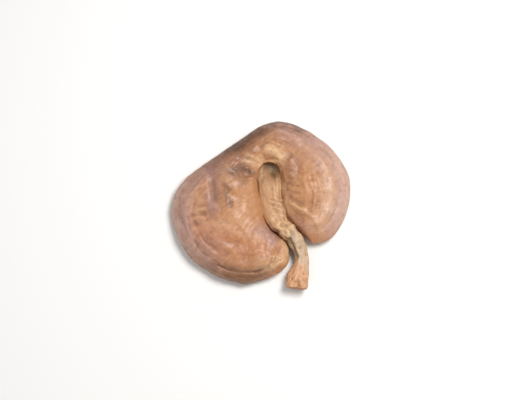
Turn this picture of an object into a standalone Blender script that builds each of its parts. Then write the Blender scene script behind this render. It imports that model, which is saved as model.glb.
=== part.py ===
"""A dried reishi: a broad kidney-shaped bracket lying on its pore face, with its side stem.

The frame is in metres with +Z up. The pore face rests on z = 0, and the origin is under the middle
of the whole body. The notch and the stem point to -Y, the large lobe is at -X and the small one at +X.
"""

import math

import bmesh
import bpy
import numpy as np

MM = 0.001
COLLECTION_NAME = "reishi"
CUTTER_COLLECTION_NAME = "reishi_cutters"

# Sections across the cap, from the tip of the large lobe round to the tip of the small one:
# the point on the edge of the notch, then the point on the outer margin, in millimetres
LARGE_LOBE_TIP = (26.5, -48.5)
SECTIONS = (
    ((25.0, -41.0), (25.0, -57.5)),
    ((19.5, -33.5), (15.0, -67.5)),
    ((11.0, -26.0), (-4.5, -75.5)),
    ((4.0, -16.5), (-26.5, -76.0)),
    ((1.0, -4.0), (-54.0, -64.0)),
    ((-1.5, 9.5), (-75.0, -43.0)),
    ((-3.5, 22.5), (-86.5, -10.0)),
    ((-2.5, 34.0), (-77.5, 20.0)),
    ((3.0, 39.5), (-49.0, 44.0)),
    ((9.0, 40.0), (-18.0, 66.0)),
    ((15.0, 38.0), (12.5, 82.6)),
    ((17.6, 30.0), (45.0, 73.8)),
    ((18.8, 16.5), (72.5, 50.0)),
    ((19.4, 3.0), (86.0, 21.5)),
    ((22.4, -10.0), (82.5, -8.5)),
    ((31.0, -21.0), (70.5, -30.0)),
    ((43.0, -33.0), (59.5, -37.0)),
)
SMALL_LOBE_TIP = (50.5, -38.0)

# Heights of the cap and how wide its edges roll over, in millimetres. The notch's edge is rounder on
# the large lobe than on the small one, which starts at a section number
MARGIN_HEIGHT = 9.5
SHOULDER_HEIGHT = 17.0
CROWN_RISE = 12.5
CROWN_REACH = 15.0
UPPER_MARGIN_ROUNDING = 16.0
LARGE_LOBE_NOTCH_ROUNDING = 7.0
SMALL_LOBE_NOTCH_ROUNDING = 4.0
SMALL_LOBE_START = 10.8
LIP_ROUNDING = 6.5
LOWER_ROUNDING = 12.0

# The lip over the stem's root, where the cap's widest line is higher: centre, spread and lift
LIP = ((8.5, 38.0), 13.0, 8.0)

# Slow waves of the margin's height: sections in a wave, phase and height in millimetres. They die
# out at the two tips, where the sections crowd together
MARGIN_WAVES = ((4.3, 0.6, 1.0), (2.1, 2.0, 0.6))
WAVES_START = 1.8
WAVES_END = 16.2

# Broad swellings and hollows of the upper side: centre x and y, spread and height, in millimetres
SWELLINGS = (
    (-28.0, -8.0, 30.0, 5.0),
    (-52.0, -34.0, 15.0, 1.6),
    (0.0, -55.0, 13.0, 1.8),
    (14.0, -57.0, 5.5, 1.6),
    (-34.0, 8.0, 6.0, 1.6),
    (-24.0, 12.0, 5.0, -1.4),
    (50.0, 18.0, 22.0, 4.0),
    (60.0, 44.0, 14.0, 1.6),
    (14.5, 48.0, 7.5, 5.0),
    (5.0, 52.0, 7.0, 3.5),
    (-9.0, 50.0, 8.0, 2.0),
    (-15.0, 31.0, 8.5, -6.0),
    (27.0, -12.0, 7.5, -4.0),
    (46.0, -18.0, 9.0, 1.5),
)

# Creases of the upper side: a line of points, half width and depth, in millimetres
CREASES = (
    (((-50.0, 33.0), (-46.0, 14.0), (-43.0, -7.0)), 4.5, 2.8),
    (((-30.0, 42.0), (-16.0, 43.5), (-1.0, 40.0)), 3.4, 2.0),
    (((-3.0, 51.0), (3.0, 59.0), (12.0, 59.0), (21.0, 54.0), (25.5, 45.0)), 3.4, 2.4),
    (((33.0, 46.0), (35.0, 34.0), (36.0, 20.0)), 3.8, 2.2),
    (((22.0, 6.0), (31.0, 1.0), (44.0, -7.0)), 3.4, 2.0),
    (((-66.0, -16.0), (-56.0, -14.0), (-50.0, -17.0)), 3.4, 1.2),
    (((-36.0, -38.0), (-16.0, -42.0), (4.0, -40.0)), 3.8, 0.8),
)

# Growth grooves that follow the outer margin: distance from it, half width, depth, and the
# sections where each starts and ends
GROOVES = (
    (8.6, 3.0, 2.4, 1.8, 4.8),
    (20.5, 4.2, 0.8, 3.0, 6.4),
    (32.0, 4.6, 0.6, 4.0, 8.0),
    (12.0, 3.8, 1.3, 9.5, 16.2),
    (25.0, 4.6, 1.0, 11.5, 16.5),
)
FADE = 1.2

# The stem's middle line from the cut end to the root: x, y, z, half width, half height
STEM_LINE = (
    (33.2, -81.6, 9.8, 10.2, 9.2),
    (35.0, -71.5, 9.8, 10.4, 9.2),
    (38.2, -58.0, 8.6, 7.2, 7.2),
    (37.0, -44.5, 9.0, 7.4, 7.8),
    (29.2, -31.5, 11.0, 8.8, 9.6),
    (17.8, -19.5, 11.4, 9.4, 10.0),
    (11.0, -6.0, 10.8, 9.4, 9.0),
    (8.9, 10.0, 10.4, 9.6, 8.6),
    (7.7, 24.0, 9.2, 10.2, 7.6),
    (8.4, 37.0, 6.0, 10.4, 5.2),
    (8.5, 50.0, 6.4, 8.0, 5.2),
)

# Lumps round the stem: waves in a turn, twist along the stem and share of the half width
STEM_LUMPS = ((2, 3.0, 0.04), (3, -7.0, 0.045), (1, 11.0, 0.04))
STEM_FLATNESS = 0.66
STEM_CUT_SHARE = 0.09
STEM_ROOT_SHARE = 0.06
PIECE_GAP = 0.3

# Mesh steps
CAP_RINGS = 84
CAP_UPPER_STEPS = 27
CAP_LOWER_STEPS = 15
STEM_RINGS = 50
STEM_STEPS = 24
OUTLINE_STEPS_PER_SECTION = 12
TINY = 1e-6

CAP_COLOUR = (0.456, 0.235, 0.141, 1.0)
STEM_COLOUR = (0.604, 0.371, 0.216, 1.0)
CAP_ROUGHNESS = 0.45
STEM_ROUGHNESS = 0.7


def clear_scene():
    """Removes whatever the scene holds at the start."""
    for old_object in list(bpy.data.objects):
        bpy.data.objects.remove(old_object, do_unlink=True)


def make_collection(name):
    """Adds a collection to the scene."""
    collection = bpy.data.collections.new(name)
    bpy.context.scene.collection.children.link(collection)
    return collection


def make_material(name, colour, roughness):
    """Makes a Principled material with one colour and roughness."""
    material = bpy.data.materials.new(name)
    material.use_nodes = True
    shader = material.node_tree.nodes["Principled BSDF"]
    shader.inputs["Base Color"].default_value = colour
    shader.inputs["Roughness"].default_value = roughness
    shader.inputs["Metallic"].default_value = 0.0
    material.diffuse_color = colour
    return material


def spline_slopes(knots, closed):
    """Slopes at the knots of the smooth cubic curve that passes through them."""
    count = len(knots)
    system = np.zeros((count, count))
    right_side = np.zeros_like(knots)
    for row in range(count):
        before, after = (row - 1) % count, (row + 1) % count
        if closed or 0 < row < count - 1:
            system[row, [before, row, after]] = 1.0, 4.0, 1.0
        else:
            before, after = max(row - 1, 0), min(row + 1, count - 1)
            system[row, row] = 2.0
            system[row, before + after - row] = 1.0
        right_side[row] = 3.0 * (knots[after] - knots[before])
    return np.linalg.solve(system, right_side)


def spline(knots, travel, closed=False):
    """Points of a smooth cubic curve through the knots. A travel of 1 leads from knot to knot."""
    knots = np.asarray(knots, dtype=float)
    travel = np.asarray(travel, dtype=float)
    slopes = spline_slopes(knots, closed)
    spans = len(knots) if closed else len(knots) - 1
    start = np.clip(np.floor(travel).astype(int), 0, spans - 1)
    end = (start + 1) % len(knots)
    t = (travel - start)[:, None]
    from_start = (2 * t**3 - 3 * t**2 + 1) * knots[start] + (t**3 - 2 * t**2 + t) * slopes[start]
    from_end = (3 * t**2 - 2 * t**3) * knots[end] + (t**3 - t**2) * slopes[end]
    return from_start + from_end


def outline_knots():
    """The cap's closed outline: large tip, outer margin, small tip, then back along the notch."""
    margin = [section[1] for section in SECTIONS]
    notch = [section[0] for section in reversed(SECTIONS)]
    return [LARGE_LOBE_TIP, *margin, SMALL_LOBE_TIP, *notch]


def margin_points(section):
    """Points of the outer margin at the given section numbers, 0 being the large lobe's tip."""
    return spline(outline_knots(), section, closed=True)


def notch_points(section):
    """Points of the notch's edge at the given section numbers."""
    return spline(outline_knots(), len(outline_knots()) - section, closed=True)


def distance_to_line(points, line):
    """Shortest distance from each point to a line made of straight steps."""
    line = np.asarray(line, dtype=float)
    best = np.full(len(points), np.inf)
    for start, end in zip(line[:-1], line[1:]):
        step = end - start
        along = np.clip((points - start) @ step / (step @ step), 0.0, 1.0)
        nearest = start + along[:, None] * step
        best = np.minimum(best, np.linalg.norm(points - nearest, axis=1))
    return best


def edge_distances(points):
    """Distance of each point from the outer margin and from the notch's edge."""
    last = len(SECTIONS) + 1
    section = np.linspace(0.0, last, last * OUTLINE_STEPS_PER_SECTION + 1)
    return distance_to_line(points, margin_points(section)), distance_to_line(points, notch_points(section))


def rounding(margin_gap, notch_gap, margin_radius, notch_radius):
    """Quarter-circle rise from 0 at the nearer edge to 1 at its radius inside."""
    margin_nearness = margin_radius / np.maximum(margin_gap, TINY)
    notch_nearness = notch_radius / np.maximum(notch_gap, TINY)
    inward = np.minimum((margin_nearness**4 + notch_nearness**4) ** -0.25, 1.0)
    return np.sqrt(1.0 - (1.0 - inward) ** 2)


def bell(distance, spread):
    """Smooth hump of height 1 that fades over the spread."""
    return np.exp(-((distance / spread) ** 2))


def distance_to_point(points, centre):
    """Distance of each point from one point."""
    return np.linalg.norm(points - np.array(centre), axis=1)


def window(section, start, end):
    """1 between two sections, fading to 0 outside them."""
    rise = 1.0 / (1.0 + np.exp(4.0 * (start - section) / FADE))
    fall = 1.0 / (1.0 + np.exp(4.0 * (section - end) / FADE))
    return rise * fall


def rim_height(points, section):
    """Height of the cap's widest line, which waves slowly and is lifted over the stem's root."""
    lip_centre, lip_spread, lip_lift = LIP
    height = MARGIN_HEIGHT + lip_lift * bell(distance_to_point(points, lip_centre), lip_spread)
    for wave_length, phase, amount in MARGIN_WAVES:
        wave = np.sin(2 * math.pi * section / wave_length + phase)
        height += amount * wave * window(section, WAVES_START, WAVES_END)
    return height


def crown_height(points, section, margin_gap, notch_gap):
    """Height of the upper side before it rolls over the edges."""
    depth_in = margin_gap * notch_gap / np.maximum(margin_gap + notch_gap, TINY)
    height = SHOULDER_HEIGHT + CROWN_RISE * (1.0 - np.exp(-depth_in / CROWN_REACH))
    for x, y, spread, rise in SWELLINGS:
        height += rise * bell(distance_to_point(points, (x, y)), spread)
    for line, half_width, depth in CREASES:
        height -= depth * bell(distance_to_line(points, line), half_width)
    for distance, half_width, depth, start, end in GROOVES:
        height -= depth * bell(margin_gap - distance, half_width) * window(section, start, end)
    return height


def cap_surface(section, turn):
    """Points of the cap's skin. A turn of 0 is the outer margin, pi the notch, 2 pi the margin again."""
    across = (0.5 + 0.5 * np.cos(turn))[:, None]
    flat = notch_points(section) * (1.0 - across) + margin_points(section) * across
    margin_gap, notch_gap = edge_distances(flat)
    rim = rim_height(flat, section)
    crown = crown_height(flat, section, margin_gap, notch_gap)
    near_lip = bell(distance_to_point(flat, LIP[0]), LIP[1])
    small_lobe = window(section, SMALL_LOBE_START, 2 * len(SECTIONS))
    notch_radius = LARGE_LOBE_NOTCH_ROUNDING * (1.0 - small_lobe) + SMALL_LOBE_NOTCH_ROUNDING * small_lobe
    notch_radius += (LIP_ROUNDING - notch_radius) * near_lip
    above = rounding(margin_gap, notch_gap, UPPER_MARGIN_ROUNDING, notch_radius)
    below = rounding(margin_gap, notch_gap, LOWER_ROUNDING, LOWER_ROUNDING)
    height = np.where(turn <= math.pi, rim + (crown - rim) * above, rim * (1.0 - below))
    return np.column_stack([flat, height])


def sphere_mesh(name, steps, rings, place):
    """Makes a UV sphere and moves every vertex by a formula of its ring share and its step."""
    sphere = bmesh.new()
    bmesh.ops.create_uvsphere(sphere, u_segments=steps, v_segments=rings, radius=1.0)
    directions = np.array([vertex.co[:] for vertex in sphere.verts])
    ring_share = np.arccos(np.clip(directions[:, 2], -1.0, 1.0)) / math.pi
    turn_share = np.arctan2(directions[:, 1], directions[:, 0]) / (2 * math.pi) % 1.0
    step = np.round(turn_share * steps) % steps
    for vertex, point in zip(sphere.verts, place(ring_share, step)):
        vertex.co = point * MM
    if sphere.calc_volume(signed=True) < 0.0:
        bmesh.ops.reverse_faces(sphere, faces=sphere.faces)
    bmesh.ops.triangulate(sphere, faces=sphere.faces)
    mesh = bpy.data.meshes.new(name)
    sphere.to_mesh(mesh)
    sphere.free()
    mesh.shade_smooth()
    return mesh


def place_cap(ring_share, step):
    """Bends a sphere into the kidney: its poles become the tips of the two lobes."""
    upper_turn = step / CAP_UPPER_STEPS
    lower_turn = 1.0 + (step - CAP_UPPER_STEPS) / CAP_LOWER_STEPS
    turn = np.where(step <= CAP_UPPER_STEPS, upper_turn, lower_turn) * math.pi
    return cap_surface(ring_share * (len(SECTIONS) + 1), turn)


def place_stem(ring_share, step):
    """Draws a sphere out along the stem's line, with a flat cut at the start and a blunt root."""
    turn = step / STEM_STEPS * 2 * math.pi
    last = len(STEM_LINE) - 1
    along = np.clip((ring_share - STEM_CUT_SHARE) / (1.0 - STEM_CUT_SHARE), 0.0, 1.0)
    station = spline(STEM_LINE, along * last)
    ahead = spline(STEM_LINE, np.minimum(along * last + 0.05, last))
    behind = spline(STEM_LINE, np.maximum(along * last - 0.05, 0.0))
    heading = (ahead - behind)[:, :2]
    heading /= np.linalg.norm(heading, axis=1)[:, None]
    sideways = np.column_stack([heading[:, 1], -heading[:, 0]])
    closing = np.minimum(ring_share / STEM_CUT_SHARE, (1.0 - ring_share) / STEM_ROOT_SHARE)
    size = np.clip(closing, 0.0, 1.0)
    for waves, twist, amount in STEM_LUMPS:
        size = size * (1.0 + amount * np.sin(waves * turn + twist * along * math.pi))
    reach = (station[:, 3] * size * np.cos(turn))[:, None] * sideways
    lift = np.sign(np.sin(turn)) * np.abs(np.sin(turn)) ** STEM_FLATNESS
    return np.column_stack([station[:, :2] + reach, station[:, 2] + station[:, 4] * size * lift])


def make_piece(name, mesh, material, collection):
    """Adds one named piece to its collection."""
    mesh.materials.append(material)
    piece = bpy.data.objects.new(name, mesh)
    collection.objects.link(piece)
    return piece


def make_clearance(cap, collection):
    """A copy of the cap, swollen by the gap, that cuts the stem's root to fit it."""
    cutter = bpy.data.objects.new("cap_clearance", cap.data.copy())
    collection.objects.link(cutter)
    swell = cutter.modifiers.new("swell", "DISPLACE")
    swell.direction = "NORMAL"
    swell.mid_level = 0.0
    swell.strength = PIECE_GAP * MM
    cutter.hide_render = True
    cutter.display_type = "WIRE"
    return cutter


def main():
    """Builds the reishi."""
    clear_scene()
    parts = make_collection(COLLECTION_NAME)
    cutters = make_collection(CUTTER_COLLECTION_NAME)
    crust = make_material("varnished_crust", CAP_COLOUR, CAP_ROUGHNESS)
    cork = make_material("corky_stem", STEM_COLOUR, STEM_ROUGHNESS)
    cap_mesh = sphere_mesh("cap", CAP_UPPER_STEPS + CAP_LOWER_STEPS, CAP_RINGS, place_cap)
    stem_mesh = sphere_mesh("stem", STEM_STEPS, STEM_RINGS, place_stem)
    cap = make_piece("cap", cap_mesh, crust, parts)
    stem = make_piece("stem", stem_mesh, cork, parts)
    trim = stem.modifiers.new("root_fit", "BOOLEAN")
    trim.operation = "DIFFERENCE"
    trim.solver = "EXACT"
    trim.object = make_clearance(cap, cutters)


main()
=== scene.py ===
"""Looks of a dried reishi: its varnished, spore-dusted cap and its corky side stem.

The cap and the stem are modelled again here, finer, on the lines of the solids they stand for.
Lengths in the lists are millimetres in plan: +X to the small lobe, +Y away from the notch, +Z up.
"""

import itertools
import math

import bpy
import numpy as np
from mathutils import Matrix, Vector


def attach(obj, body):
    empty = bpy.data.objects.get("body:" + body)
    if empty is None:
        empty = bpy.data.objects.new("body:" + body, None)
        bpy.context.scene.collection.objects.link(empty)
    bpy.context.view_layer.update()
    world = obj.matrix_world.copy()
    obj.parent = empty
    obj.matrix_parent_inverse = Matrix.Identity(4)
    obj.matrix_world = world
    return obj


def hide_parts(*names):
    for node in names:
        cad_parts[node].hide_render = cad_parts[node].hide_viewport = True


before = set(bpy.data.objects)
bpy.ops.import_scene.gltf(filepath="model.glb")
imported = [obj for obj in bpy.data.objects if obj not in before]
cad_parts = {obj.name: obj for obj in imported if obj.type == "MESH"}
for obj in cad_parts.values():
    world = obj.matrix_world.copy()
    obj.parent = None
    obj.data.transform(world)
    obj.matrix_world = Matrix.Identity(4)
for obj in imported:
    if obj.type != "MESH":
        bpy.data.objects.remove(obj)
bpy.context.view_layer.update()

MM = 0.001
TINY = 1e-6

# The cap's outline, section by section from the large lobe's tip round to the small lobe's tip:
# the point on the edge of the notch, then the point on the outer margin
LARGE_LOBE_TIP = (26.5, -48.5)
SECTIONS = (
    ((25.0, -41.0), (25.0, -57.5)),
    ((19.5, -33.5), (15.0, -67.5)),
    ((11.0, -26.0), (-4.5, -75.5)),
    ((4.0, -16.5), (-26.5, -76.0)),
    ((1.0, -4.0), (-54.0, -64.0)),
    ((-1.5, 9.5), (-75.0, -43.0)),
    ((-3.5, 22.5), (-86.5, -10.0)),
    ((-2.5, 34.0), (-77.5, 20.0)),
    ((3.0, 39.5), (-49.0, 44.0)),
    ((9.0, 40.0), (-18.0, 66.0)),
    ((15.0, 38.0), (12.5, 82.6)),
    ((17.6, 30.0), (45.0, 73.8)),
    ((18.8, 16.5), (72.5, 50.0)),
    ((19.4, 3.0), (86.0, 21.5)),
    ((22.4, -10.0), (82.5, -8.5)),
    ((31.0, -21.0), (70.5, -30.0)),
    ((43.0, -33.0), (59.5, -37.0)),
)
SMALL_LOBE_TIP = (50.5, -38.0)
LAST_SECTION = len(SECTIONS) + 1
SECTION_PITCH = 26.0

# Heights of the cap and how wide its edges roll over
MARGIN_HEIGHT = 9.5
SHOULDER_HEIGHT = 17.0
CROWN_RISE = 12.5
CROWN_REACH = 15.0
UPPER_MARGIN_ROUNDING = 16.0
LARGE_LOBE_NOTCH_ROUNDING = 7.0
SMALL_LOBE_NOTCH_ROUNDING = 4.0
SMALL_LOBE_START = 10.8
LIP_ROUNDING = 6.5
LOWER_ROUNDING = 12.0
LIP = ((8.5, 38.0), 13.0, 8.0)
MARGIN_WAVES = ((4.3, 0.6, 1.0), (2.1, 2.0, 0.6))
WAVES_START = 1.8
WAVES_END = 16.2

# Broad swellings and hollows: centre x and y, spread and height
SWELLINGS = (
    (-28.0, -8.0, 30.0, 5.0),
    (-52.0, -34.0, 15.0, 1.6),
    (0.0, -55.0, 13.0, 1.8),
    (14.0, -57.0, 5.5, 1.6),
    (-34.0, 8.0, 6.0, 1.6),
    (-24.0, 12.0, 5.0, -1.4),
    (50.0, 18.0, 22.0, 4.0),
    (60.0, 44.0, 14.0, 1.6),
    (14.5, 48.0, 7.5, 5.0),
    (5.0, 52.0, 7.0, 3.5),
    (-9.0, 50.0, 8.0, 2.0),
    (-15.0, 31.0, 8.5, -6.0),
    (27.0, -12.0, 7.5, -4.0),
    (46.0, -18.0, 9.0, 1.5),
)

# Creases and folds of the crust: a line of points, half width, and height above the crust
FOLDS = (
    (((-50.0, 33.0), (-46.0, 14.0), (-43.0, -7.0)), 4.5, -2.8),
    (((-30.0, 42.0), (-16.0, 43.5), (-1.0, 40.0)), 3.4, -2.0),
    (((-3.0, 51.0), (3.0, 59.0), (12.0, 59.0), (21.0, 54.0), (25.5, 45.0)), 3.4, -2.4),
    (((33.0, 46.0), (35.0, 34.0), (36.0, 20.0)), 3.8, -2.2),
    (((22.0, 6.0), (31.0, 1.0), (44.0, -7.0)), 3.4, -2.0),
    (((-66.0, -16.0), (-56.0, -14.0), (-50.0, -17.0)), 3.4, -1.2),
    (((-36.0, -38.0), (-16.0, -42.0), (4.0, -40.0)), 3.8, -0.8),
    (((-69.0, -18.5), (-62.0, -16.0), (-53.0, -15.0)), 1.9, 1.4),
    (((-71.0, -14.5), (-62.0, -11.8), (-51.0, -12.5)), 1.8, -0.4),
    (((-70.0, -22.5), (-62.0, -21.5), (-53.0, -23.0)), 1.8, -0.8),
    (((-66.0, -9.0), (-57.0, -7.5), (-50.0, -9.0)), 1.8, 0.7),
    (((-65.0, -5.0), (-56.0, -3.8), (-47.0, -5.4)), 1.7, -0.8),
    (((-64.0, 12.0), (-62.0, 4.0)), 1.8, 0.6),
    (((-53.0, 32.0), (-52.0, 14.0), (-50.0, 0.0)), 1.8, 0.6),
    (((-17.0, 46.0), (-8.0, 43.5), (1.0, 39.5)), 1.7, 1.3),
    (((24.0, 1.5), (34.0, -5.0), (44.0, -10.5)), 1.6, 1.5),
    (((46.0, 2.0), (55.0, -4.0)), 1.5, 0.9),
    (((40.0, 24.0), (43.5, 8.0), (41.0, -6.0)), 1.7, 0.9),
    (((46.0, 22.0), (51.0, 6.0), (49.0, -12.0)), 1.5, 0.9),
    (((53.0, 26.0), (58.0, 6.0), (56.0, -14.0)), 1.6, 0.8),
    (((47.0, 26.0), (49.5, 10.0), (48.0, -4.0)), 1.6, -0.9),
    (((22.0, 19.0), (32.0, 15.5), (40.0, 14.0)), 1.3, -1.1),
    (((22.0, 13.0), (32.0, 8.5), (40.0, 7.0)), 1.2, -1.0),
    (((22.5, 25.0), (33.0, 22.0)), 1.2, -0.9),
    (((24.0, 31.5), (33.0, 30.0)), 1.2, -0.7),
    (((25.0, -5.0), (33.0, -10.5), (42.0, -16.0)), 1.8, -1.0),
    (((33.0, -13.0), (42.0, -13.0), (50.0, -17.0)), 1.5, -0.6),
    (((40.0, -10.0), (50.0, -17.0), (56.0, -28.0)), 1.8, 1.0),
    (((8.0, -54.0), (14.0, -51.0), (20.0, -56.0), (13.0, -63.0), (6.0, -60.0), (8.0, -54.0)), 1.5, 1.0),
    (((5.0, 74.0), (22.0, 70.0), (33.0, 63.0), (41.0, 61.0)), 1.6, 0.9),
    (((6.0, 78.0), (24.0, 75.0), (38.0, 69.0)), 1.3, -0.8),
    (
        ((-44.0, -58.5), (-38.0, -62.5), (-30.0, -65.5), (-20.0, -67.0), (-8.0, -67.0), (4.0, -64.5)),
        1.4, -1.6,
    ),
    (((-34.0, -71.0), (-14.0, -72.5), (2.0, -70.0)), 1.2, -1.0),
    (((-66.0, -36.0), (-57.0, -48.0), (-45.0, -56.0)), 1.3, -0.8),
    (((-61.0, -36.0), (-50.0, -47.0), (-38.0, -54.0)), 1.5, 0.5),
    (((-74.0, -12.0), (-71.0, -26.0), (-63.0, -41.0)), 1.3, 0.8),
    (((-70.5, -24.0), (-66.0, -35.0), (-58.0, -44.0)), 1.3, -0.7),
)

# Growth grooves along the outer margin: distance from it, half width, depth, first and last section
GROOVES = (
    (8.6, 3.0, 2.4, 1.8, 4.8),
    (20.5, 4.2, 0.8, 3.0, 6.4),
    (32.0, 4.6, 0.6, 4.0, 8.0),
    (12.0, 3.8, 1.3, 9.5, 16.2),
    (25.0, 4.6, 1.0, 11.5, 16.5),
)
FADE = 1.2

# How much of a fold's height is lost at its ends
FOLD_END_FADE = 0.8

# Fine growth lines along the margin: width and length of their waves, and height. They are
# strongest near the margin, leave a rest further in, and come and go, with a mean presence, its
# change and its most. They follow the crust down its rolled edge too, which is longer than it
# looks from above
EDGE_LENGTH = 9.0
GROWTH_LINES = ((3.4, 48.0, 0.5), (1.7, 30.0, 0.3))
LINES_REACH = 30.0
LINES_REST = 0.16
LINES_DRIFT = 3.0
LINES_DRIFT_GRAIN = 17.0
LINES_PRESENCE = (0.65, 0.6, 1.2)

# Wrinkles across the growth lines, as the flesh shrank: pitch round the margin, length and depth.
# They drift, stay off the margin, and come in patches, with a mean presence and its change
WRINKLE_PITCH = 5.0
WRINKLE_LENGTH = 15.0
WRINKLE_DEPTH = 0.5
WRINKLE_SHARPNESS = 0.45
WRINKLE_DRIFT = 5.0
WRINKLE_DRIFT_GRAIN = 12.0
WRINKLE_MARGIN = 6.0
WRINKLE_PATCH_GRAIN = 16.0
WRINKLE_PRESENCE = (0.5, 0.9)

# Rough places of the crust: line, half width, and the grain and height of the lumps
ROUGH_PLACES = (
    (((-34.0, 17.0), (-30.0, -3.0)), 6.5, 4.2, 0.75),
    (((-26.0, 33.0), (-12.0, 29.5)), 6.5, 4.0, 0.9),
    (((10.0, -60.0), (18.0, -54.0)), 5.5, 3.4, 0.8),
    (((24.0, -9.0), (31.0, -15.0), (36.0, -21.0)), 4.0, 3.0, 0.5),
    (((26.0, 42.0), (27.0, 20.0)), 7.5, 4.0, 0.5),
    (((5.0, 50.0), (16.0, 50.0)), 6.0, 6.5, 0.7),
    (((1.0, 40.0), (9.0, 41.5), (17.0, 39.0)), 3.5, 6.0, 1.3),
)

# Lumps all over the crust, grain and height, and its fine meandering creases
CRUST_LUMPS = ((13.0, 0.7), (5.5, 0.4), (2.6, 0.14))
CREASE_GRAIN = 8.0
CREASE_DEPTH = 0.35
CREASE_WIDTH = 0.14
CREASE_PRESENCE = 0.3
# How far below the widest line the relief dies out
RELIEF_REACH = 6.0
# The small lobe's margin is smoother: width, first and last section, and share of the relief lost
SMOOTH_MARGIN = (26.0, 12.4, 17.0, 0.55)

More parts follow.
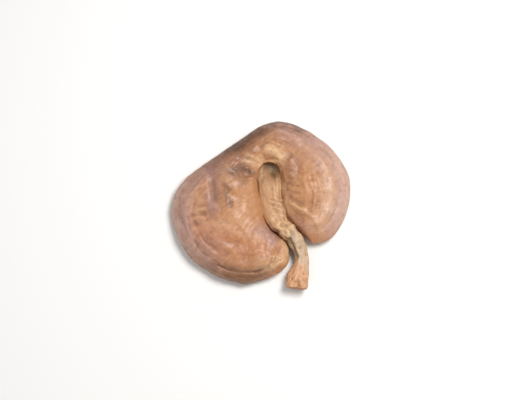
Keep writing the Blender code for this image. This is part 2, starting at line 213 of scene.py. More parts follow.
# Tones of the crust over its golden ground, some of them painted light and shade, as strokes: line, half
# width, strength
CAP_TONES = {
    "orange": (
        (((-60.0, -32.0), (-30.0, -42.0), (0.0, -49.0)), 13.0, 0.9),
        (((-60.0, 14.0), (-60.0, -2.0)), 7.0, 0.2),
        (((-63.0, -18.0), (-60.0, -26.0)), 8.0, 0.6),
        (((44.0, 22.0), (46.0, 4.0), (50.0, -18.0)), 8.0, 0.3),
        (((14.0, -50.0), (24.0, -50.0)), 9.0, 0.4),
        (((-28.0, 44.0), (-4.0, 53.0)), 6.0, 0.5),
        (((40.0, -23.0), (50.0, -34.0)), 7.0, 0.6),
    ),
    "rust": (
        # partly painted shade: the small lobe's slope down into the notch is darkened, over its own
        # red-brown
        (((27.0, 44.0), (28.0, 22.0)), 6.5, 0.7),
        (((25.0, 18.0), (26.0, 6.0)), 5.0, 0.55),
        (((32.0, -13.0), (37.0, -19.0)), 4.5, 0.8),
        (((-14.0, 56.0), (-9.0, 51.0)), 6.0, 0.9),
        (((1.0, 65.0), (-14.0, 53.0), (-24.0, 44.0), (-34.0, 33.0), (-42.0, 25.0)), 6.0, 0.4),
        (((4.0, 68.0), (20.0, 66.0), (38.0, 60.0)), 6.0, 0.3),
        (((58.0, 38.0), (59.0, 12.0)), 7.0, 0.2),
        (((-32.0, 51.0), (-4.0, 63.0)), 7.0, 0.35),
        (((-32.0, 41.0), (-16.0, 39.0)), 5.0, 0.7),
        (((-42.0, -36.0), (-14.0, -50.0), (4.0, -58.0)), 8.0, 0.3),
        (((-62.0, -20.5), (-53.0, -18.5)), 2.6, 0.4),
        (((-60.0, -10.5), (-53.0, -8.0)), 3.0, 0.3),
        (((-62.0, -44.0), (-50.0, -54.0), (-36.0, -62.0)), 7.0, 0.55),
        (((-48.0, -1.0), (-47.0, -10.0)), 4.5, 0.5),
        (((-34.0, 16.0), (-31.0, -2.0)), 5.0, 0.75),
        (((37.0, -21.0), (46.0, -32.0)), 4.0, 0.35),
    ),
    "purple": (
        (((-50.0, 38.0), (-47.0, 16.0), (-46.0, -4.0)), 7.5, 0.8),
        (((-48.0, 2.0), (-47.0, -12.0)), 5.0, 0.5),
        (((2.0, -27.0), (12.0, -34.0)), 8.0, 0.35),
        (((44.0, 44.0), (54.0, 38.0)), 8.0, 0.25),
        (((-19.0, 31.0),), 11.0, 0.6),
        (((-62.0, 24.0), (-44.0, 38.0)), 9.0, 0.3),
        (((34.0, 43.0), (35.0, 25.0)), 4.0, 0.4),
        (((20.0, 64.0), (36.0, 64.0)), 8.0, 0.3),
        (((-54.0, -38.0), (-38.0, -46.0)), 8.0, 0.4),
    ),
    "pink": (
        (((2.0, -27.0), (12.0, -34.0)), 8.0, 0.7),
        (((32.0, 72.0), (56.0, 56.0)), 12.0, 0.7),
        (((-72.0, 4.0), (-72.0, -24.0)), 8.0, 0.6),
        (((-70.0, -34.0), (-62.0, -46.0), (-50.0, -57.0)), 8.0, 0.45),
        (((26.0, -10.0), (36.0, -22.0)), 4.5, 0.25),
    ),
    "pale": (
        # partly painted light: the knob is lightened where it faces the light, over its own cream
        (((9.0, 51.0), (16.0, 47.0), (18.0, 42.0)), 6.5, 1.0),
        # painted highlight along the crease's fold
        (((-13.0, 43.5), (0.0, 40.0)), 3.0, 0.9),
        (((60.0, 16.0), (60.0, -6.0)), 7.0, 0.35),
        (((50.0, -16.0), (56.0, -26.0)), 6.0, 0.3),
        # painted light on the large lobe's tip
        (((23.0, -39.0), (25.0, -50.0)), 5.0, 0.7),
        # painted light on the small lobe's wall down into the notch, which lies in shade
        (((20.0, 18.0), (21.0, 2.0), (25.0, -9.0)), 3.0, 0.5),
        # painted highlight along the small lobe's ridge
        (((30.0, -3.0), (42.0, -9.0)), 2.0, 0.5),
        (((9.0, -62.0), (20.0, -56.0)), 4.0, 0.4),
        (((5.0, -63.0), (9.0, -65.5)), 2.4, 0.9),
        # partly painted light: the large lobe's lower flank is lightened, round the scar's own pale beads
        (((-2.0, -59.0), (10.0, -61.0), (16.0, -57.0)), 6.0, 0.45),
        (((15.0, -53.5), (20.0, -55.0), (20.5, -59.0)), 2.0, 0.8),
    ),
    "blush": (
        (((62.0, 18.0), (60.0, -8.0)), 8.0, 0.4),
        (((-63.0, 14.0), (-61.0, -8.0)), 8.0, 0.12),
        (((-56.0, -22.0), (-40.0, -26.0)), 7.0, 0.2),
    ),
    "dark_and_painted_shade": (
        (((-26.0, 31.0), (-17.0, 34.0), (-11.0, 30.0)), 5.0, 0.7),
        (((-25.0, 26.0), (-14.0, 25.0)), 4.0, 0.25),
        (((-40.0, 38.0), (-38.0, 26.0)), 5.0, 0.2),
        (((-26.0, 46.0), (-14.0, 49.0)), 6.0, 0.2),
        (((-14.0, 57.0), (-4.0, 60.0)), 5.0, 0.12),
        (((-21.0, 17.0), (-16.0, 20.0)), 3.5, 0.2),
        (((20.5, 14.0), (21.5, 4.0), (27.0, -8.0)), 2.6, 0.15),
        # painted shade along the small lobe's lower edge
        (((40.0, -27.0), (46.0, -35.0)), 3.0, 0.3),
        (((-35.0, 14.0), (-31.0, -1.0)), 3.0, 0.4),
        # partly painted shade: a dark line under the rolled top edge
        (((36.0, 78.0), (8.0, 84.0)), 2.6, 0.6),
        (((33.0, 76.0), (42.0, 72.0)), 3.0, 0.5),
    ),
}

# Tones of the outer margin, some of them painted light and shade: name, width from the edge, first and
# last section, strength
MARGIN_TONES = (
    # painted shade: the lower rim is painted darker
    ("dark_and_painted_shade", 12.0, 2.6, 5.0, 0.55),
    ("rust", 22.0, 2.6, 4.8, 0.7),
    # painted light: the left flank, which turns away from the light, is lightened
    ("blush", 7.0, 5.6, 8.2, 0.5),
    ("purple", 14.0, 4.4, 5.4, 0.3),
    ("pink", 20.0, 5.3, 8.6, 0.9),
    # partly painted shadow: the upper-left band is painted darker, over its own darker crust
    ("dark_and_painted_shade", 14.0, 8.9, 10.9, 0.9),
    ("rust", 22.0, 8.9, 11.0, 0.8),
    ("purple", 22.0, 7.8, 8.8, 0.3),
    ("pink", 17.0, 10.8, 16.2, 0.7),
    ("purple", 9.0, 10.8, 12.6, 0.4),
    ("blush", 24.0, 12.6, 15.8, 0.65),
)
TONE_DRIFT = 3.0
TONE_DRIFT_GRAIN = 9.0

# Tones of the stem over its tan ground, some of them painted shade and a painted sheen
STEM_TONES = {
    "cream": (
        (((17.0, -18.0), (24.0, -25.0), (34.0, -34.0)), 9.0, 0.6),
        (((38.0, -64.0), (37.0, -76.0)), 3.0, 0.6),
        (((29.0, -72.0), (28.0, -81.0)), 2.5, 0.5),
    ),
    "painted_sheen": (
        # painted sheen: the lower stem is painted paler and greyer
        (((32.0, -32.0), (37.0, -42.0), (38.5, -60.0)), 8.0, 0.9),
    ),
    "brown_and_painted_shade": (
        # painted shade, with some dust: the hollow under the lip is painted dark
        (((7.0, 38.0), (13.0, 36.0), (13.5, 29.0)), 5.5, 0.95),
        (((-1.5, 38.0), (0.0, 24.0)), 4.0, 0.4),
        (((15.0, 0.0), (18.0, -11.0)), 4.0, 0.2),
        # painted shade: the cleft beside the large lobe's tip is painted dark
        (((27.5, -37.0), (33.5, -51.0)), 2.6, 0.9),
    ),
    "orange": (
        (((33.0, -68.0), (33.0, -82.0)), 11.0, 0.9),
        (((9.0, 4.0), (15.0, -12.0)), 7.0, 0.7),
    ),
}

# The stem's middle line from the cut end to the root: x, y, z, half width, half height
STEM_LINE = (
    (33.2, -81.6, 9.8, 10.2, 9.2),
    (35.0, -71.5, 9.8, 10.4, 9.2),
    (38.2, -58.0, 8.6, 7.2, 7.2),
    (37.0, -44.5, 9.0, 7.4, 7.8),
    (29.2, -31.5, 11.0, 8.8, 9.6),
    (17.8, -19.5, 11.4, 9.4, 10.0),
    (11.0, -6.0, 10.8, 9.4, 9.0),
    (8.9, 10.0, 10.4, 9.6, 8.6),
    (7.7, 24.0, 9.2, 10.2, 7.6),
    (8.4, 37.0, 6.0, 10.4, 5.2),
    (8.5, 50.0, 6.4, 8.0, 5.2),
)
STEM_LUMPS = ((2, 3.0, 0.04), (3, -7.0, 0.045), (1, 11.0, 0.04))
STEM_FLATNESS = 0.66
# The upper stem is this much wider than its line says, so that its sides grow into the cap
STEM_SPREAD = 0.28
STEM_SPREAD_START = 0.45
STEM_SPREAD_FADE = 0.12
STEM_CUT_SHARE = 0.09
STEM_ROOT_SHARE = 0.06
STEM_LENGTH = 150.0
STEM_HALF_WIDTH = 9.0
# Share of a knot's span over which the stem's heading is taken
HEADING_STEP = 0.05
# Where the cut face ends, where the rind's relief starts and how fast it comes in, as shares of
# the cut
CUT_FACE_END = 0.97
RIND_START = 0.9
RIND_FADE = 0.2

# Relief of the stem's rind: furrows along it, shallow lumps, small pits, and knobs at the bend and
# the cut (x, y, spread, grain and height)
FURROW_PITCH = 2.6
FURROW_LENGTH = 22.0
FURROW_DEPTH = 0.45
FURROW_WIDTH = 0.4
STREAK_PITCH = 1.4
RIND_LUMP_GRAIN = 6.5
RIND_LUMP_HEIGHT = 0.5
PIT_GRAIN = 2.4
PIT_DEPTH = 0.08
STEM_KNOBS = (
    (22.0, -24.0, 14.0, 7.5, 2.6),
    (26.0, -28.0, 13.0, 4.2, 1.0),
    (38.0, -46.0, 9.0, 5.5, 1.3),
    (34.0, -78.0, 13.0, 7.0, 2.4),
    (34.0, -78.0, 15.0, 3.4, 1.1),
    (13.0, 1.0, 7.0, 3.4, 0.5),
)
CUT_LUMP_GRAIN = 1.8
CUT_LUMP_HEIGHT = 0.35

# Folds across the stem where it leaves the notch: line, half width, height
STEM_FOLDS = (
    (((8.0, 5.5), (19.0, 2.5)), 1.3, 0.7),
    (((8.0, 1.0), (19.0, -2.0)), 1.3, 0.8),
    (((9.0, -4.0), (20.0, -7.0)), 1.4, 0.8),
    (((11.0, -11.0), (22.0, -13.0)), 1.6, 0.9),
    (((15.0, -26.0), (26.0, -17.0)), 2.2, -0.6),
    (((25.0, -37.0), (36.0, -28.0)), 2.2, -0.5),
)

# Hollows of the stem's upper side, under the lip and beside the large lobe's tip: line, half width, depth
STEM_HOLLOWS = (
    (((8.0, 42.0), (10.5, 32.0)), 7.0, 2.6),
    (((27.0, -37.0), (33.0, -51.0)), 2.6, 2.6),
)

# Mesh steps, then how hollows and ridges are found for their painted shade and painted light:
# rounds of smoothing, the depth in millimetres that counts as full, and the folds' share
CAP_RINGS = 500
CAP_UPPER_STEPS = 150
CAP_LOWER_STEPS = 46
PORE_FACE_INSET = CAP_LOWER_STEPS // 6
STEM_RINGS = 330
STEM_STEPS = 104
OUTLINE_STEPS_PER_SECTION = 30
HOLLOW_SPREAD = 14
HOLLOW_DEPTH = 0.45
FOLD_SHADE = 0.6
# Random values along each side of the block that all noise is drawn from
NOISE_CELLS = 32

# The camera looks down from the side that the notch opens to. One millimetre of the object is
# 1 / 0.97 pixels of the image, and the middle of the image is a little left of the cap's middle
IMAGE_WIDTH = 512
MM_PER_PIXEL = 0.97
CAMERA_LENS = 80.0
CAMERA_SENSOR = 36.0
CAMERA_ELEVATION = 80.0
IMAGE_MIDDLE = (-5.3, 4.1, 10.0)

FLOOR_SIZE = 6.0
FLOOR_COLOUR = "#f4f3f1"
SKY_COLOUR = "#ffffff"
SKY_STRENGTH = 0.37

# Soft boxes: name, place in metres, size in metres, power in watts
SOFT_BOXES = (
    ("key_light", (0.38, 0.22, 1.0), 0.45, 10.2),
    ("fill_light", (-0.8, -0.5, 0.7), 1.2, 2.8),
)

# Blender's socket numbers for the colours of a mix node
MIX_FACTOR, MIX_A, MIX_B, MIX_RESULT = 0, 6, 7, 2


def spline_slopes(knots, closed):
    """Slopes at the knots of the smooth cubic curve that passes through them."""
    count = len(knots)
    system = np.zeros((count, count))
    right_side = np.zeros_like(knots)
    for row in range(count):
        before, after = (row - 1) % count, (row + 1) % count
        if closed or 0 < row < count - 1:
            system[row, [before, row, after]] = 1.0, 4.0, 1.0
        else:
            before, after = max(row - 1, 0), min(row + 1, count - 1)
            system[row, row] = 2.0
            system[row, before + after - row] = 1.0
        right_side[row] = 3.0 * (knots[after] - knots[before])
    return np.linalg.solve(system, right_side)


def spline(knots, travel, closed=False):
    """Points of a smooth cubic curve through the knots. A travel of 1 leads from knot to knot."""
    knots = np.asarray(knots, dtype=float)
    travel = np.asarray(travel, dtype=float)
    slopes = spline_slopes(knots, closed)
    spans = len(knots) if closed else len(knots) - 1
    start = np.clip(np.floor(travel).astype(int), 0, spans - 1)
    end = (start + 1) % len(knots)
    t = (travel - start)[:, None]
    from_start = (2 * t**3 - 3 * t**2 + 1) * knots[start] + (t**3 - 2 * t**2 + t) * slopes[start]
    from_end = (3 * t**2 - 2 * t**3) * knots[end] + (t**3 - t**2) * slopes[end]
    return from_start + from_end


def outline_knots():
    """The cap's closed outline: large tip, outer margin, small tip, then back along the notch."""
    margin = [section[1] for section in SECTIONS]
    notch = [section[0] for section in reversed(SECTIONS)]
    return [LARGE_LOBE_TIP, *margin, SMALL_LOBE_TIP, *notch]


def margin_points(section):
    """Points of the outer margin at the given section numbers, 0 being the large lobe's tip."""
    return spline(outline_knots(), section, closed=True)


def notch_points(section):
    """Points of the notch's edge at the given section numbers."""
    return spline(outline_knots(), len(outline_knots()) - section, closed=True)


def distance_to_line(points, line):
    """Shortest distance from each point to a line made of straight steps, or to a single point."""
    line = np.asarray(line, dtype=float)
    best = np.linalg.norm(points - line[0], axis=1)
    for start, end in zip(line[:-1], line[1:]):
        step = end - start
        along = np.clip((points - start) @ step / (step @ step), 0.0, 1.0)
        best = np.minimum(best, np.linalg.norm(points - start - along[:, None] * step, axis=1))
    return best


def edge_distances(points, section):
    """Distance of each point from the outer margin and from the notch's edge, exactly 0 on them."""
    steps = np.linspace(0.0, LAST_SECTION, LAST_SECTION * OUTLINE_STEPS_PER_SECTION + 1)
    gaps = []
    for edge_points in (margin_points, notch_points):
        along_section = np.linalg.norm(points - edge_points(section), axis=1)
        gaps.append(np.minimum(distance_to_line(points, edge_points(steps)), along_section))
    return gaps


def rounding(margin_gap, notch_gap, margin_radius, notch_radius):
    """Quarter-circle rise from 0 at the nearer edge to 1 at its radius inside."""
    margin_nearness = margin_radius / np.maximum(margin_gap, TINY)
    notch_nearness = notch_radius / np.maximum(notch_gap, TINY)
    inward = np.minimum((margin_nearness**4 + notch_nearness**4) ** -0.25, 1.0)
    return np.sqrt(1.0 - (1.0 - inward) ** 2)


def bell(distance, spread):
    """Smooth hump of height 1 that fades over the spread."""
    return np.exp(-((distance / spread) ** 2))


def window(section, start, end):
    """1 between two sections, fading to 0 outside them."""
    rise = 1.0 / (1.0 + np.exp(4.0 * (start - section) / FADE))
    fall = 1.0 / (1.0 + np.exp(4.0 * (section - end) / FADE))
    return rise * fall


def noise(points, grain, seed):
    """Smooth noise from -1 to 1 whose lumps are one grain across, the same at each run for a seed."""
    values = np.random.default_rng(seed).uniform(-1.0, 1.0, (NOISE_CELLS,) * 3)
    place = points / grain
    cell = np.floor(place).astype(int)
    share = place - cell
    share = share * share * (3.0 - 2.0 * share)
    total = np.zeros(len(points))
    for corner in itertools.product((0, 1), repeat=3):
        weight = np.prod(np.where(corner, share, 1.0 - share), axis=1)
        total += weight * values[tuple(((cell + corner) % NOISE_CELLS).T)]
    return total


def lumps(points, grain, seed, octaves=3):
    """Noise of several grains, each half the last in size and in height."""
    return sum(noise(points, grain / 2**octave, seed + octave) / 2**octave for octave in range(octaves))


def rim_height(flat, section):
    """Height of the cap's widest line, which waves slowly and is lifted over the stem's root."""
    lip_centre, lip_spread, lip_lift = LIP
    height = MARGIN_HEIGHT + lip_lift * bell(distance_to_line(flat, [lip_centre]), lip_spread)
    for wave_length, phase, amount in MARGIN_WAVES:
        wave = np.sin(2 * math.pi * section / wave_length + phase)
        height += amount * wave * window(section, WAVES_START, WAVES_END)
    return height


def dome_height(flat, margin_gap, notch_gap):
    """Height of the upper side with its broad swellings, before it rolls over the edges."""
    depth_in = margin_gap * notch_gap / np.maximum(margin_gap + notch_gap, TINY)
    height = SHOULDER_HEIGHT + CROWN_RISE * (1.0 - np.exp(-depth_in / CROWN_REACH))
    for x, y, spread, rise in SWELLINGS:
        height += rise * bell(distance_to_line(flat, [(x, y)]), spread)
    return height


def fold_height(flat, section, margin_gap):
    """Height of the creases, folds and growth grooves over the dome. Folds fade towards their ends."""
    height = np.zeros(len(flat))
    for line, half_width, rise in FOLDS:
        from_ends = np.minimum(distance_to_line(flat, line[:1]), distance_to_line(flat, line[-1:]))
        fading = 1.0 - FOLD_END_FADE * bell(from_ends, 2.0 * half_width)
        height += rise * fading * bell(distance_to_line(flat, line), half_width)
    for distance, half_width, depth, start, end in GROOVES:
        height -= depth * bell(margin_gap - distance, half_width) * window(section, start, end)
    return height


def growth_lines(points, section, margin_run):
    """Height and tint of the fine lines that follow the margin, uneven in width, which come and go."""
    from_margin = margin_run + LINES_DRIFT * noise(points, LINES_DRIFT_GRAIN, 11)
    strength = LINES_REST + (1.0 - LINES_REST) * bell(margin_run, LINES_REACH)
    mean, change, most = LINES_PRESENCE
    strength *= np.clip(mean + change * noise(points, LINES_DRIFT_GRAIN, 12), 0.0, most)
    height = np.zeros(len(points))
    tint = np.zeros(len(points))
    for number, (width, length, rise) in enumerate(GROWTH_LINES):
        along = section * SECTION_PITCH / length
        plan = np.column_stack([from_margin / width, along, np.zeros(len(points))])
        height += rise * noise(plan, 1.0, 13 + number)
        tint += noise(plan, 1.0, 16 + number)
    return height * strength, tint * strength


def wrinkles(points, section, margin_gap, notch_gap):
    """Shrinkage wrinkles that run from the notch towards the margin and fade at both."""
    drift = WRINKLE_DRIFT * noise(points, WRINKLE_DRIFT_GRAIN, 20)
    round_margin = (section * SECTION_PITCH + drift) / WRINKLE_PITCH
    plan = np.column_stack([round_margin, margin_gap / WRINKLE_LENGTH, np.zeros(len(points))])
    lines = bell(noise(plan, 1.0, 21), WRINKLE_SHARPNESS)
    inside = (1.0 - bell(margin_gap, WRINKLE_MARGIN)) * notch_gap / (margin_gap + notch_gap + TINY)
    mean, change = WRINKLE_PRESENCE
    strength = np.clip(mean + change * noise(points, WRINKLE_PATCH_GRAIN, 22), 0.0, 1.0)
    return -WRINKLE_DEPTH * lines * inside * strength * window(section, WAVES_START, WAVES_END)


def rough_places(points, flat):
    """Warts, scars and pits in patches of the crust."""
    height = np.zeros(len(points))
    for number, (line, half_width, grain, rise) in enumerate(ROUGH_PLACES):
        place = bell(distance_to_line(flat, line), half_width)
        height += rise * lumps(points, grain, 31 + 5 * number) * place
    return height


def unevenness(points):
    """Shallow lumps all over the crust, and fine creases that meander over it in patches."""
    height = np.zeros(len(points))
    for number, (grain, rise) in enumerate(CRUST_LUMPS):
        height += rise * noise(points, grain, 61 + number)
    patches = np.clip(CREASE_PRESENCE + noise(points, 2.0 * CREASE_GRAIN, 65), 0.0, 1.0)
    return height - CREASE_DEPTH * patches * bell(noise(points, CREASE_GRAIN, 66), CREASE_WIDTH)


def tone_masks(points, tones):
    """How strongly the strokes of each tone colour each point, with edges that wander."""
    drift = np.column_stack([lumps(points, TONE_DRIFT_GRAIN, 71), lumps(points, TONE_DRIFT_GRAIN, 75)])
    wandering = points[:, :2] + TONE_DRIFT * drift
    masks = {}
    for tone, strokes in tones.items():
        masks[tone] = np.zeros(len(points))
        for line, half_width, strength in strokes:
            stroke = strength * bell(distance_to_line(wandering, line), half_width)
            masks[tone] += (1.0 - masks[tone]) * stroke
    return masks


def add_margin_tones(masks, points, section, margin_gap):
    """Adds the tones of the outer margin to those of the strokes."""
    wandering = margin_gap - TONE_DRIFT * lumps(points, TONE_DRIFT_GRAIN, 71)
    for tone, width, start, end, strength in MARGIN_TONES:
        reach = np.clip((width - wandering) / (0.5 * width), 0.0, 1.0)
        before = masks.get(tone, np.zeros(len(points)))
        masks[tone] = before + (1.0 - before) * strength * reach * window(section, start, end)


def ring_grid(rings, steps):
    """Ring shares and steps of a skin's points: a first pole, the rings between, and a last pole."""
    inner = np.repeat(np.arange(1, rings) / rings, steps)
    around = np.tile(np.arange(steps), rings - 1)
    return np.concatenate([[0.0], inner, [1.0]]), np.concatenate([[0], around, [0]])


def skin_faces(rings, steps):
    """Faces of a closed skin over the points of ring_grid."""
    faces = []
    last = (rings - 1) * steps + 1
    for step in range(steps):
        after = (step + 1) % steps
        faces.append((0, 1 + after, 1 + step))
        faces.append((last, last - steps + step, last - steps + after))
    for ring in range(rings - 2):
        row = 1 + ring * steps
        for step in range(steps):
            after = (step + 1) % steps
            faces.append((row + step, row + after, row + steps + after, row + steps + step))
    return faces


def make_skin(name, points, faces):
    """Makes a smooth closed mesh, with its faces outwards, from points in millimetres."""
    mesh = bpy.data.meshes.new(name)
    mesh.from_pydata((points * MM).tolist(), [], faces)
    corners = np.array([face[:3] for face in faces])
    a, b, c = points[corners[:, 0]], points[corners[:, 1]], points[corners[:, 2]]
    if np.einsum("ij,ij->i", a, np.cross(b, c)).sum() < 0.0:
        mesh.flip_normals()
    mesh.shade_smooth()
    return mesh


def push_out(mesh, points, height):
    """Moves each point along its normal by its height."""
    normals = np.zeros(len(points) * 3)
    mesh.vertices.foreach_get("normal", normals)
    moved = points + normals.reshape(-1, 3) * height[:, None]
    moved[:, 2] = np.maximum(moved[:, 2], 0.0)
    mesh.vertices.foreach_set("co", (moved * MM).ravel())
    mesh.update()


def hollow_depth(height, rings, steps):
    """How far each point lies below what is round it, from -1 on a ridge to 1 in a crease."""
    grid = height[1:-1].reshape(rings - 1, steps)
    level = grid
    for _ in range(HOLLOW_SPREAD):
        level = (np.roll(level, 1, axis=1) + 2.0 * level + np.roll(level, -1, axis=1)) / 4.0
        ends = np.vstack([level[:1], level, level[-1:]])
        level = (ends[:-2] + 2.0 * ends[1:-1] + ends[2:]) / 4.0
    depth = np.clip((level - grid) / HOLLOW_DEPTH, -1.0, 1.0).ravel()
    return np.concatenate([[0.0], depth, [0.0]])


def add_attributes(mesh, values):
    """Stores one number per point under each name, for the materials."""
    for name, numbers in values.items():
        attribute = mesh.attributes.new(name, "FLOAT", "POINT")
        attribute.data.foreach_set("value", numbers.astype(np.float32))


def make_cap():
    """The cap: crust above with its zones, folds and scars, and the pore face below."""
    steps = CAP_UPPER_STEPS + CAP_LOWER_STEPS
    ring_share, step = ring_grid(CAP_RINGS, steps)
    section = ring_share * LAST_SECTION
    lower_turn = 1.0 + (step - CAP_UPPER_STEPS) / CAP_LOWER_STEPS
    turn = np.where(step <= CAP_UPPER_STEPS, step / CAP_UPPER_STEPS, lower_turn) * math.pi
    across = (0.5 + 0.5 * np.cos(turn))[:, None]
    flat = notch_points(section) * (1.0 - across) + margin_points(section) * across
    margin_gap, notch_gap = edge_distances(flat, section)
    rim = rim_height(flat, section)
    near_lip = bell(distance_to_line(flat, [LIP[0]]), LIP[1])
    small_lobe = window(section, SMALL_LOBE_START, 2 * len(SECTIONS))
    notch_radius = LARGE_LOBE_NOTCH_ROUNDING * (1.0 - small_lobe) + SMALL_LOBE_NOTCH_ROUNDING * small_lobe
    notch_radius += (LIP_ROUNDING - notch_radius) * near_lip
    above = rounding(margin_gap, notch_gap, UPPER_MARGIN_ROUNDING, notch_radius)
    below = rounding(margin_gap, notch_gap, LOWER_ROUNDING, LOWER_ROUNDING)
    folds = fold_height(flat, section, margin_gap)
    crown = dome_height(flat, margin_gap, notch_gap) + folds
    upper = turn <= math.pi
    points = np.column_stack([flat, np.where(upper, rim + (crown - rim) * above, rim * (1.0 - below))])
    faces = skin_faces(CAP_RINGS, steps)
    mesh = make_skin("reishi_cap", points, faces)
    margin_run = np.where(upper, margin_gap + EDGE_LENGTH * above, -margin_gap - EDGE_LENGTH * below)
    relief, tint = growth_lines(points, section, margin_run)
    relief += wrinkles(points, section, margin_gap, notch_gap)
    relief += rough_places(points, flat) + unevenness(points)
    smooth_width, smooth_start, smooth_end, smooth_share = SMOOTH_MARGIN
    smooth = bell(margin_gap, smooth_width) * window(section, smooth_start, smooth_end)
    relief *= 1.0 - smooth_share * smooth
    relief *= np.where(upper, 1.0, np.clip(1.0 - (rim - points[:, 2]) / RELIEF_REACH, 0.0, 1.0))
    push_out(mesh, points, relief)
    values = tone_masks(points, CAP_TONES)
    add_margin_tones(values, points, section, margin_gap)
    values["growth"] = tint
    values["round_margin"] = section * SECTION_PITCH
    values["from_margin"] = margin_run
    # depth below the surroundings, which drives the painted shade in creases and painted light on ridges
    values["painted_crease_shade_ridge_light"] = hollow_depth(relief + FOLD_SHADE * folds * above, CAP_RINGS, steps)
    add_attributes(mesh, values)
    pore_step = CAP_UPPER_STEPS + PORE_FACE_INSET
    top_step = steps - PORE_FACE_INSET
    low = (step >= pore_step) & (step < top_step)
    low_faces = [int(all(low[corner] for corner in face)) for face in faces]
    mesh.materials.append(crust_material())
    mesh.materials.append(pore_material())
    mesh.polygons.foreach_set("material_index", low_faces)
    return mesh


def stem_place(ring_share, step):
    """Points of the stem's skin: a sphere drawn out along its line, with a flat cut and a blunt root."""
    turn = step / STEM_STEPS * 2 * math.pi
    last = len(STEM_LINE) - 1
    along = np.clip((ring_share - STEM_CUT_SHARE) / (1.0 - STEM_CUT_SHARE), 0.0, 1.0)
    station = spline(STEM_LINE, along * last)
    ahead = spline(STEM_LINE, np.minimum(along * last + HEADING_STEP, last))
    behind = spline(STEM_LINE, np.maximum(along * last - HEADING_STEP, 0.0))
    heading = (ahead - behind)[:, :2]
    heading /= np.linalg.norm(heading, axis=1)[:, None]
    sideways = np.column_stack([heading[:, 1], -heading[:, 0]])
    closing = np.minimum(ring_share / STEM_CUT_SHARE, (1.0 - ring_share) / STEM_ROOT_SHARE)
    size = np.clip(closing, 0.0, 1.0)
    for waves, twist, amount in STEM_LUMPS:
        size = size * (1.0 + amount * np.sin(waves * turn + twist * along * math.pi))
    spread = 1.0 + STEM_SPREAD * np.clip((along - STEM_SPREAD_START) / STEM_SPREAD_FADE, 0.0, 1.0)
    reach = (station[:, 3] * spread * size * np.cos(turn))[:, None] * sideways
    lift = np.sign(np.sin(turn)) * np.abs(np.sin(turn)) ** STEM_FLATNESS
    return np.column_stack([station[:, :2] + reach, station[:, 2] + station[:, 4] * size * lift])


def make_stem():
    """The stem: furrowed rind with knobs, and the corky cut end."""
    ring_share, step = ring_grid(STEM_RINGS, STEM_STEPS)
    points = stem_place(ring_share, step)
    turn = step / STEM_STEPS * 2 * math.pi
    along = np.clip((ring_share - STEM_CUT_SHARE) / (1.0 - STEM_CUT_SHARE), 0.0, 1.0)
    rind = np.clip((ring_share / STEM_CUT_SHARE - RIND_START) / RIND_FADE, 0.0, 1.0)
    faces = skin_faces(STEM_RINGS, STEM_STEPS)
    mesh = make_skin("reishi_stem", points, faces)
    strand = STEM_HALF_WIDTH / FURROW_PITCH
    drawn_out = along * STEM_LENGTH / FURROW_LENGTH
    wound = np.column_stack([strand * np.cos(turn), strand * np.sin(turn), drawn_out])
    flat = points[:, :2]
    relief = -FURROW_DEPTH * bell(noise(wound, 1.0, 81), FURROW_WIDTH)
    relief += RIND_LUMP_HEIGHT * lumps(points, RIND_LUMP_GRAIN, 83)
    relief += PIT_DEPTH * lumps(points, PIT_GRAIN, 85)
    for number, (x, y, spread, grain, rise) in enumerate(STEM_KNOBS):
        knob = bell(distance_to_line(flat, [(x, y)]), spread)
        relief += rise * lumps(points, grain, 91 + 2 * number, 2) * knob
    uppermost = np.clip(2.0 * np.sin(turn), 0.0, 1.0)
    for line, half_width, rise in STEM_FOLDS:
        relief += rise * uppermost * bell(distance_to_line(flat, line), half_width)
    relief *= rind
    relief += CUT_LUMP_HEIGHT * lumps(points, CUT_LUMP_GRAIN, 88) * (1.0 - rind)
    sunk = relief.copy()
    for line, half_width, depth in STEM_HOLLOWS:
        sunk -= depth * uppermost * bell(distance_to_line(flat, line), half_width)
    push_out(mesh, points, sunk)
    values = tone_masks(points, STEM_TONES)
    # depth below the surroundings, which drives the painted shade in furrows and painted light on knobs
    values["painted_crease_shade_ridge_light"] = hollow_depth(relief, STEM_RINGS, STEM_STEPS)
    values["streaks"] = noise(wound * FURROW_PITCH / STREAK_PITCH, 1.0, 82)
    values["from_core"] = np.clip(ring_share / STEM_CUT_SHARE, 0.0, 1.0)
    add_attributes(mesh, values)
    cut = ring_share < STEM_CUT_SHARE * CUT_FACE_END
    cut_faces = [int(all(cut[corner] for corner in face)) for face in faces]
    mesh.materials.append(rind_material())
    mesh.materials.append(cut_material())
    mesh.polygons.foreach_set("material_index", cut_faces)
    return mesh


def linear(hex_colour):
    """Turns an sRGB hex colour into linear red, green, blue and alpha."""
    channels = [int(hex_colour[place:place + 2], 16) / 255.0 for place in (1, 3, 5)]
    return (*(c / 12.92 if c <= 0.04045 else ((c + 0.055) / 1.055) ** 2.4 for c in channels), 1.0)


def add_node(tree, kind, inputs, **settings):
    """Adds a node, sets its own settings, and sets or links its inputs."""
    node = tree.nodes.new(kind)
    for name, value in settings.items():
        setattr(node, name, value)
    for socket, value in inputs.items():
        if isinstance(value, bpy.types.NodeSocket):
            tree.links.new(value, node.inputs[socket])
        else:
            node.inputs[socket].default_value = value
    return node


def new_material(name, roughness, ior, coat=0.0, coat_roughness=0.3):
    """Starts a material: its tree, its shader with the constant values, and places on the object."""
    material = bpy.data.materials.new(name)
    material.use_nodes = True
    tree = material.node_tree
    shader = tree.nodes["Principled BSDF"]
    shader.inputs["Metallic"].default_value = 0.0
    shader.inputs["Roughness"].default_value = roughness
    shader.inputs["IOR"].default_value = ior
    shader.inputs["Coat Weight"].default_value = coat
    shader.inputs["Coat Roughness"].default_value = coat_roughness
    place = add_node(tree, "ShaderNodeTexCoord", {}).outputs["Object"]
    return material, tree, shader, place


